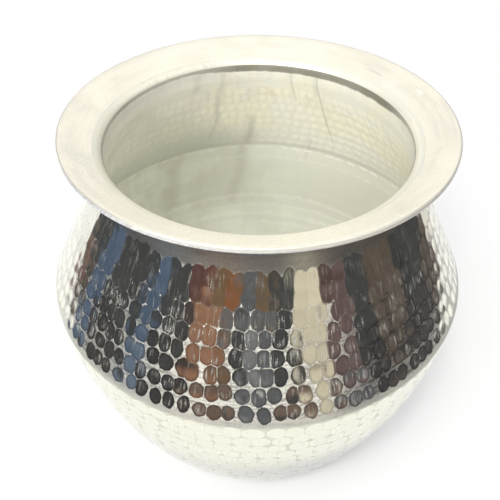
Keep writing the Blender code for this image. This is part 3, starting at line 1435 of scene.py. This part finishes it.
    def ragged(self, graph: FinishGraph, place: PotPlace, lip: Signal) -> Signal:
        """Return where the torn skin on the lip is dark."""
        along = place.facing(self.ragged_bearings, 4.0)
        torn = graph.noise(place.stretched(28.0, place.radius * 330.0), 1.0, 4.0, 0.8)
        return torn.rise(0.46, 0.66) * along * lip * place.radius.rise(*self.ragged_radii) * 0.55

    def scratched(self, graph: FinishGraph, place: PotPlace) -> Signal:
        """Return the bright hair-fine scratches at the front left."""
        along = place.facing(self.scratched_bearings, 4.0)
        hair = (graph.noise(place.solid, 150.0, 3.0, 1.5) - 0.5).size().rise(0.012, 0.004)
        return hair * along * place.radius.between(*self.scratched_radii, self.scratched_softness)


@dataclass(frozen=True)
class Run:
    """A grey run down the lining: its bearing and drift in degrees, heights, width, strength."""

    bearing: float
    top: float
    foot: float
    drift: float
    width: float
    strength: float

    def share(self, place: PotPlace) -> Signal:
        """Return how strongly the run covers a point."""
        slope = math.radians(self.drift) / (self.top - self.foot)
        middle = place.height * -slope + (math.radians(self.bearing) + slope * self.top)
        graph = place.x.graph
        wander = graph.noise(place.stretched(2.0, place.height * 30.0), 1.0, 3.0)
        stray = (wander - 0.5) * (self.width * 0.9)
        across = ((place.bearing - middle) * place.radius + stray).size()
        reach = (self.top - self.foot) * 0.3
        along = place.height.between(self.foot + reach, self.top - reach / 3, reach)
        return across.rise(self.width / 2, 0.0) * along * self.strength


@dataclass(frozen=True)
class ScouredLining:
    """The inside: dull scoured metal with upright streaks and grey runs, greenish low down."""

    colour: Colour = (0.975, 0.955, 0.87)
    warm_colour: Colour = (0.995, 0.95, 0.78)
    low_colour: Colour = (0.84, 0.845, 0.755)
    floor_colour: Colour = (0.955, 0.96, 0.87)
    streak_and_dimple_shade_colour: Colour = (0.76, 0.765, 0.68)
    left_crease_shade_colour: Colour = (0.68, 0.71, 0.67)
    pink_colour: Colour = (0.90, 0.85, 0.77)
    stain_and_side_dimming_colour: Colour = (0.72, 0.71, 0.605)
    tan_colour: Colour = (0.74, 0.68, 0.50)
    # Painted shade: the dark band in the throat under the lip.
    throat_shade_colour: Colour = (0.175, 0.163, 0.125)
    run_colour: Colour = (0.60, 0.595, 0.505)
    crease_colour: Colour = (0.66, 0.67, 0.60)
    # Colour of the painted highlights on the dents and along the crease
    dent_highlight_colour: Colour = (1.0, 0.99, 0.94)
    roughness: float = 0.40
    metallic: float = 0.05
    dimple_height: float = 0.00045
    ripple_height: float = 0.0003
    blush_share: float = 0.60
    dirt_share: float = 0.38
    stain_share: float = 0.60
    turned_share: float = 0.30
    line_share: float = 0.35
    arc_share: float = 0.30
    throat_foot: float = 0.2600
    throat_rise: float = 0.0030
    throat_wander: float = 0.0020
    throat_edge: Span = (-0.0012, 0.0008)
    throat_shade: Span = (-0.0140, -0.0020)
    crease_height: float = 0.1540
    low_start: Span = (0.0005, -0.0015)
    crease_band: Band = (0.0015, 0.0030, 0.0040)
    crease_line: Band = (-0.0012, -0.0004, 0.0006)
    scalloped_rows: Band = (-0.0160, 0.0, 0.0006)
    top_row: Span = (-0.0080, -0.0050)
    arc_heights: Band = (0.062, 0.094, 0.012)
    dried_heights: Band = (0.228, 0.258, 0.010)
    warm_heights: Span = (0.165, 0.200)
    left_crease_shade_heights: Span = (0.200, 0.160)
    deep_heights: Span = (0.100, 0.065)
    clean_middle: Span = (0.03, 0.09)
    lit_left_side: Span = (-0.02, -0.10)
    darker_plus_x_side: Span = (-0.02, 0.12)
    runs: tuple[Run, ...] = (
        Run(26.6, 0.262, 0.165, 3.2, 0.0034, 0.70),
        Run(25.6, 0.262, 0.235, 0.8, 0.0090, 0.35),
        Run(14.4, 0.262, 0.222, 1.6, 0.0046, 0.45),
        Run(-16.7, 0.262, 0.186, -0.9, 0.0095, 0.50),
        Run(-29.0, 0.262, 0.240, -1.0, 0.0120, 0.40),
        Run(-17.2, 0.200, 0.164, -1.8, 0.0064, 0.45),
        Run(-2.9, 0.200, 0.150, -1.0, 0.0130, 0.50),
        Run(-3.4, 0.172, 0.070, -8.8, 0.0230, 0.50),
        Run(-32.5, 0.140, 0.080, -7.0, 0.0300, 0.40),
        Run(20.5, 0.170, 0.136, -3.0, 0.0060, 0.40),
        Run(61.0, 0.240, 0.200, 2.0, 0.0060, 0.25),
        Run(-70.0, 0.238, 0.205, -4.0, 0.0080, 0.30),
    )

    def make(self) -> bpy.types.Material:
        """Make the material."""
        graph = FinishGraph(Zone.LINING.value)
        place = PotPlace.on(graph)
        spot = graph.mark()
        streaks = graph.noise(place.stretched(16.0, place.height * 9.0), 1.0, 4.0, 0.3)
        clouds = graph.noise(place.stretched(3.0, place.height * 30.0), 1.0, 3.0, 0.5)
        turned = graph.noise(place.stretched(1.2, place.height * 130.0), 1.0, 2.0)
        stains = graph.noise(place.solid, 22.0, 4.0, 0.4)
        above_crease = place.height - self.crease_height
        low = above_crease.rise(*self.low_start)
        warm = clouds.rise(0.28, 0.62) * place.bearing.between(-0.2, 1.1, 0.6)
        blush = clouds.rise(0.50, 0.40) * place.bearing.between(-1.5, -0.25, 0.3)
        # Painted shade: cooler, darker metal low on the -X side, around and below the crease.
        left_crease_shade = place.height.rise(*self.left_crease_shade_heights) * place.bearing.rise(0.25, -0.5)
        deep = place.height.rise(*self.deep_heights) * 0.8
        # Below the crease the metal is paler towards the bottom, and paler on the -X side as
        # painted light.
        low_tone_and_left_light = graph.mix((place.x.rise(*self.lit_left_side) * 0.9).most(deep),
                          self.low_colour, self.floor_colour)
        dimple = (1.0 - spot.off * spot.off).most(0.0) ** 1.5 * (spot.own * 0.6 + 0.6)
        dirt = (streaks * 0.65 + clouds * 0.35).rise(0.48, 0.72)
        dirt = dirt * place.radius.rise(*self.clean_middle)
        left = place.bearing.rise(-0.15, -0.6)
        # Painted shade: the metal between the dimples above the crease is darkened, more on the -X
        # side.
        between = (1.0 - dimple).rise(0.2, 0.9) * (1.0 - low) * (0.22 + 0.36 * clouds * left)
        dim = stains.rise(0.42, 0.60) * self.stain_share
        # Besides the stains, the metal below the crease is made darker towards +X.
        dim = dim.most(place.x.rise(*self.darker_plus_x_side))
        crease = above_crease.between(*self.crease_band)
        metal = graph.layers(
            self.colour,
            (warm * place.height.rise(*self.warm_heights), self.warm_colour),
            (blush * self.blush_share, self.pink_colour),
            (left_crease_shade * (0.5 + 0.6 * clouds), self.left_crease_shade_colour),
            (low, low_tone_and_left_light),
            ((dirt * self.dirt_share).most(between), self.streak_and_dimple_shade_colour),
            (dim * (1.0 - deep * 0.5) * low, self.stain_and_side_dimming_colour),
            (self.dried(graph, place), self.tan_colour),
            (turned.rise(0.55, 0.40) * low * self.turned_share, self.streak_and_dimple_shade_colour),
            *((run.share(place), self.run_colour) for run in self.runs),
            (crease * (0.25 + 0.4 * clouds), self.crease_colour),
            (self.dent_highlights(place, above_crease, spot), self.dent_highlight_colour),
            (self.throat(place, streaks, clouds), self.throat_shade_colour),
        )
        graph.set(
            Base_Color=metal,
            Roughness=clouds * 0.12 + turned * low * 0.10 + (self.roughness - 0.08),
            Metallic=self.metallic,
        )
        ripple = turned * low * self.ripple_height
        graph.bump(dimple * self.dimple_height * (1.0 - low * 0.75) + ripple)
        return graph.material

    def throat(self, place: PotPlace, streaks: Signal, clouds: Signal) -> Signal:
        """Return the painted shade in the throat under the lip: a dark band, widest at the back,
        with a softer painted shade below it.

        Args:
            place: Where a point lies.
            streaks: Upright streaks, which make the band's edge uneven.
            clouds: Soft noise, which makes its darkness uneven.
        """
        front = 1.0 - place.bearing.between(-0.15, 1.05, 0.45)
        foot = front * self.throat_rise + self.throat_foot - (streaks - 0.5) * self.throat_wander
        above = place.height - foot
        dark = above.rise(*self.throat_edge) * (1.0 - 0.20 * front) * (0.75 + 0.4 * clouds)
        shade = 0.17 + 0.12 * streaks + 0.16 * front
        return dark.most(above.rise(*self.throat_shade) * shade)

    def dried(self, graph: FinishGraph, place: PotPlace) -> Signal:
        """Return the tan edges that water left as it dried high up at the back."""
        pools = graph.noise(place.solid, 38.0, 3.0, 0.6)
        edges = (pools - 0.5).size().rise(0.045, 0.0)
        wet = edges * 0.30 + pools.rise(0.5, 0.62) * 0.16
        high = place.height.between(*self.dried_heights)
        return wet * high * place.bearing.between(-0.25, 0.45, 0.25)

    def dent_highlights(self, place: PotPlace, above_crease: Signal, spot: MarkSpot) -> Signal:
        """Return painted highlights: the bright upper edges of the dents, crisp below the crease
        and faint low down, and a bright line just under the crease.

        Args:
            place: Where a point lies.
            above_crease: How high it lies above the crease.
            spot: How it lies in its hammer mark.
        """
        upper_edge = spot.down.between(-0.95, -0.62, 0.22) * spot.across.size().rise(0.85, 0.35)
        rows = above_crease.between(*self.scalloped_rows)
        bright = 0.35 + 0.35 * above_crease.rise(*self.top_row)
        bright = upper_edge * rows * bright * (0.4 + 0.6 * spot.own)
        line = above_crease.between(*self.crease_line)
        arcs = spot.down.between(-0.90, -0.50, 0.35) * place.height.between(*self.arc_heights)
        return (bright + line * self.line_share).most(arcs * self.arc_share).least(1.0)


@dataclass(frozen=True)
class TurnedBase:
    """The underside: dull turned metal, a little scuffed where it stands."""

    colour: Colour = (0.78, 0.78, 0.74)
    scuffed_colour: Colour = (0.60, 0.60, 0.56)
    roughness: float = 0.42
    line_height: float = 0.00002

    def make(self) -> bpy.types.Material:
        """Make the material."""
        graph = FinishGraph(Zone.BASE.value)
        place = PotPlace.on(graph)
        lines = graph.noise(place.stretched(2.0, place.radius * 700.0 + place.height * 700.0),
                            1.0, 3.0)
        scuffs = graph.noise(place.solid, 60.0, 5.0)
        graph.set(
            Base_Color=graph.mix(scuffs.rise(0.45, 0.75), self.colour, self.scuffed_colour),
            Roughness=lines * 0.2 + (self.roughness - 0.1),
            Metallic=1.0,
        )
        graph.bump(lines * self.line_height)
        return graph.material


@dataclass(frozen=True)
class Screen:
    """One plain glowing sheet round the camera, no lamp, which only the metal reflects: a painted
    reflection of a dark room.

    Its ends are in degrees from the camera's side, positive towards +X. It has one colour at
    its foot, and may change to others higher up.
    """

    start: float
    end: float
    foot: Colour
    higher: tuple[tuple[float, Colour], ...] = ()

    def stops(self, low: float, high: float, soft: float) -> list[tuple[float, Colour]]:
        """Return the colour at each height, for a ramp from the cloth's foot to its top.

        Args:
            low: The height of the foot.
            high: The height of the top.
            soft: Half the height over which one colour turns into the next.
        """
        stops = [(0.0, self.foot)]
        for height, colour in self.higher:
            stops.append(((height - soft - low) / (high - low), stops[-1][1]))
            stops.append(((height + soft - low) / (high - low), colour))
        return stops


# Glow colours of the sheets that paint the room's reflection in the metal
CHARCOAL = (0.062, 0.064, 0.071)
SOOT = (0.061, 0.058, 0.066)
STEEL_BLUE = (0.092, 0.130, 0.215)
PALE_BLUE = (0.135, 0.175, 0.260)
SLATE = (0.125, 0.132, 0.155)
PALE_GREY = (0.220, 0.225, 0.255)
TAN = (0.310, 0.168, 0.116)
ORANGE_BROWN = (0.240, 0.100, 0.048)
OLIVE_BROWN = (0.165, 0.112, 0.075)
DARK_BROWN = (0.165, 0.118, 0.105)
RED_BROWN = (0.170, 0.092, 0.088)
MAROON = (0.125, 0.062, 0.062)
CREAM = (0.675, 0.620, 0.520)
PLUM = (0.150, 0.105, 0.112)
DARK_PLUM = (0.120, 0.100, 0.094)
DEEP_PLUM = (0.106, 0.086, 0.076)
BURGUNDY = (0.092, 0.060, 0.058)
PALE_CREAM = (0.740, 0.720, 0.700)
OFF_WHITE = (0.965, 0.970, 0.990)


@dataclass(frozen=True)
class Softbox:
    """A square lamp: its place, the length of its sides, its power in watts and its target.

    A grid narrows its light to a spread in degrees. The metal may mirror it or not.
    """

    name: str
    place: Place
    size: float
    power: float
    target: Place = (0.0, 0.0, 0.15)
    spread: float = 180.0
    mirrored: bool = True

    def hang(self) -> None:
        """Hang the lamp."""
        select_nothing()
        bpy.ops.object.light_add(type="AREA", location=self.place)
        lamp = bpy.context.object
        lamp.name = self.name
        lamp.data.size = self.size
        lamp.data.energy = self.power
        lamp.data.spread = math.radians(self.spread)
        lamp.visible_glossy = self.mirrored
        aim(lamp, self.target)


@dataclass(frozen=True)
class Studio:
    """The white floor, the glowing sheets that paint a dark room's reflection in the metal, the
    lamps and the camera.
    """

    floor_radius: float = 0.55
    floor_sides: int = 128
    paper_colour: Colour = (0.93, 0.93, 0.93)
    room_radius: float = 1.3
    room_low: float = -0.29
    room_high: float = 0.92
    colour_change: float = 0.02
    glow_sheet_columns: int = 8
    glow_sheet_strength: float = 1.1
    world_strength: float = 0.85
    lens: float = 39.83
    sensor: float = 36.0
    nearest: float = 0.01
    camera_place: Place = (0.0, -0.3392, 0.4724)
    camera_target: Place = (-0.00575, 0.0, 0.15222)
    lamps: tuple[Softbox, ...] = (
        Softbox("key_softbox", (-0.6, -0.8, 1.15), 0.9, 10.0),
        Softbox("fill_softbox", (1.1, 0.3, 1.6), 1.2, 4.0),
        Softbox("low_window", (-0.41, -1.13, 0.79), 0.3, 0.14, (0.02, 0.06, 0.24), 20.0, False),
        Softbox("mouth_lamp", (-0.20, -0.45, 1.00), 0.25, 0.09, spread=25.0),
    )
    screens: tuple[Screen, ...] = (
        Screen(-165, -112, OFF_WHITE),
        Screen(-112, -104, RED_BROWN, ((-0.19, DARK_BROWN), (-0.12, CHARCOAL))),
        Screen(-104, -97, DARK_PLUM, ((-0.12, CHARCOAL),)),
        Screen(-97, -93, STEEL_BLUE, ((0.0, CHARCOAL),)),
        Screen(-93, -87, STEEL_BLUE),
        Screen(-87, -84, SOOT, ((0.0, STEEL_BLUE),)),
        Screen(-84, -62, SOOT, ((-0.02, CHARCOAL),)),
        Screen(-62, -58, PALE_BLUE, ((0.06, STEEL_BLUE), (0.19, CHARCOAL))),
        Screen(-58, -53, PALE_BLUE, ((0.06, STEEL_BLUE),)),
        Screen(-53, -49, SOOT, ((0.10, CHARCOAL), (0.19, STEEL_BLUE))),
        Screen(-49, -37, SOOT, ((0.10, CHARCOAL),)),
        Screen(-37, -33, SOOT, ((0.33, MAROON),)),
        Screen(-33, -28, SOOT, ((0.13, TAN), (0.34, MAROON))),
        Screen(-28, -24, DARK_BROWN, ((0.14, TAN), (0.36, MAROON))),
        Screen(-24, -17, DARK_BROWN, ((0.15, TAN), (0.34, OLIVE_BROWN))),
        Screen(-17, -11, DARK_BROWN, ((0.16, OLIVE_BROWN), (0.26, SLATE), (0.36, ORANGE_BROWN))),
        Screen(-11, -6, SLATE, ((0.10, CHARCOAL), (0.33, SLATE), (0.40, OLIVE_BROWN))),
        Screen(-6, 1, SLATE, ((0.12, PALE_GREY), (0.36, SLATE))),
        Screen(1, 9, SLATE, ((0.14, SLATE), (0.36, OLIVE_BROWN))),
        Screen(9, 20, DARK_BROWN, ((0.12, CHARCOAL),)),
        Screen(20, 28, DARK_BROWN, ((0.12, CREAM),)),
        Screen(28, 34, CREAM),
        Screen(34, 50, SLATE, ((0.06, PLUM), (0.34, BURGUNDY))),
        Screen(50, 61, SOOT, ((0.10, CHARCOAL),)),
        Screen(61, 82, SOOT, ((-0.05, DARK_PLUM), (0.14, DEEP_PLUM), (0.30, BURGUNDY))),
        Screen(82, 100, SOOT, ((-0.05, CHARCOAL),)),
        Screen(100, 116, DARK_PLUM, ((-0.12, CHARCOAL),)),
        Screen(116, 165, PALE_CREAM),
    )

    def build(self) -> None:
        """Set up the whole studio."""
        self.build_floor()
        for number, screen in enumerate(self.screens):
            self.build_screen(number, screen)
        self.light_world()
        for lamp in self.lamps:
            lamp.hang()
        self.place_camera()

    def build_floor(self) -> None:
        """Lay a round white floor."""
        select_nothing()
        bpy.ops.mesh.primitive_circle_add(vertices=self.floor_sides, radius=self.floor_radius,
                                          fill_type="NGON")
        floor = bpy.context.object
        floor.name = "floor"
        graph = FinishGraph("white_paper")
        graph.set(Base_Color=self.paper_colour, Roughness=0.9, Specular_IOR_Level=0.1)
        floor.data.materials.append(graph.material)

    def build_screen(self, number: int, screen: Screen) -> None:
        """Hang one glowing sheet, a painted reflection of the dark room.

        Args:
            number: The sheet's number, for its name.
            screen: Its place and colour.
        """
        hang = Outline(np.array([(self.room_radius, self.room_low),
                                 (self.room_radius, self.room_high)]))
        graph = FinishGraph(f"cloth_{number}")
        place = PotPlace.on(graph)
        stops = screen.stops(self.room_low, self.room_high, self.colour_change)
        share = (place.height - self.room_low) / (self.room_high - self.room_low)
        colour = graph.node("ShaderNodeValToRGB", {"stops": stops}, {0: share})
        # Painted reflection: the sheet glows in its colours, mottled, and is seen only in the
        # metal.
        glow_mottle = graph.noise(place.solid, 4.0, 3.0)
        graph.set(Base_Color=BLACK, Roughness=1.0, Specular_IOR_Level=0.0,
                  Emission_Color=graph.mix(glow_mottle.rise(0.2, 0.7) * 0.3 + 0.7, BLACK, colour),
                  Emission_Strength=self.glow_sheet_strength)
        width = math.radians(screen.end - screen.start)
        glow_sheet = hang.spun(f"cloth_{number}", self.glow_sheet_columns, graph.material, width)
        glow_sheet.rotation_euler.z = math.radians(screen.start - 90)
        bpy.ops.object.transform_apply(rotation=True)
        # The glowing sheet is hidden from the camera, diffuse light and shadows, so that it shows
        # only as a painted reflection in the metal.
        glow_sheet.visible_camera = False
        glow_sheet.visible_diffuse = False
        glow_sheet.visible_shadow = False

    def light_world(self) -> None:
        """Light the world evenly, and show it white to the camera and in the metal."""
        world = bpy.data.worlds.new("white_studio")
        world.use_nodes = True
        bpy.context.scene.world = world
        graph = NodeGraph(world.node_tree)
        kinds = (f"Is {kind} Ray" for kind in ("Camera", "Glossy", "Transmission"))
        path = graph.node("ShaderNodeLightPath", {}, {})
        camera, glossy, through = graph.outputs(path, *kinds)
        values = {"Value": camera.most(glossy).most(through),
                  "To Min": self.world_strength,
                  "To Max": 1.0}
        background = graph.tree.nodes["Background"]
        graph.feed(background.inputs["Color"], WHITE)
        graph.feed(background.inputs["Strength"], graph.node("ShaderNodeMapRange", {}, values))

    def place_camera(self) -> None:
        """Set the camera at the photograph's viewing angle."""
        select_nothing()
        bpy.ops.object.camera_add(location=self.camera_place)
        camera = bpy.context.object
        aim(camera, self.camera_target)
        camera.data.lens = self.lens
        camera.data.sensor_width = self.sensor
        camera.data.clip_start = self.nearest
        bpy.context.scene.camera = camera


def main() -> None:
    """Build and dress the pot, and set up its studio."""
    logging.basicConfig(level=logging.INFO, format="%(message)s")
    finishes = {
        Zone.LINING: ScouredLining().make(),
        Zone.BRIM: TurnedBrim().make(),
        Zone.SHEET: HammeredSheet().make(),
        Zone.BASE: TurnedBase().make(),
    }
    pot = PotShell(WallShape()).build(finishes)
    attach(pot, BODY)
    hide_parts(CAD_NODE)
    triangles = sum(len(face.vertices) - 2 for face in pot.data.polygons)
    log.info("%s: %d faces, %d triangles", pot.name, len(pot.data.polygons), triangles)
    Studio().build()
    bpy.context.scene.view_settings.view_transform = "Standard"


if __name__ == "__main__":
    main()
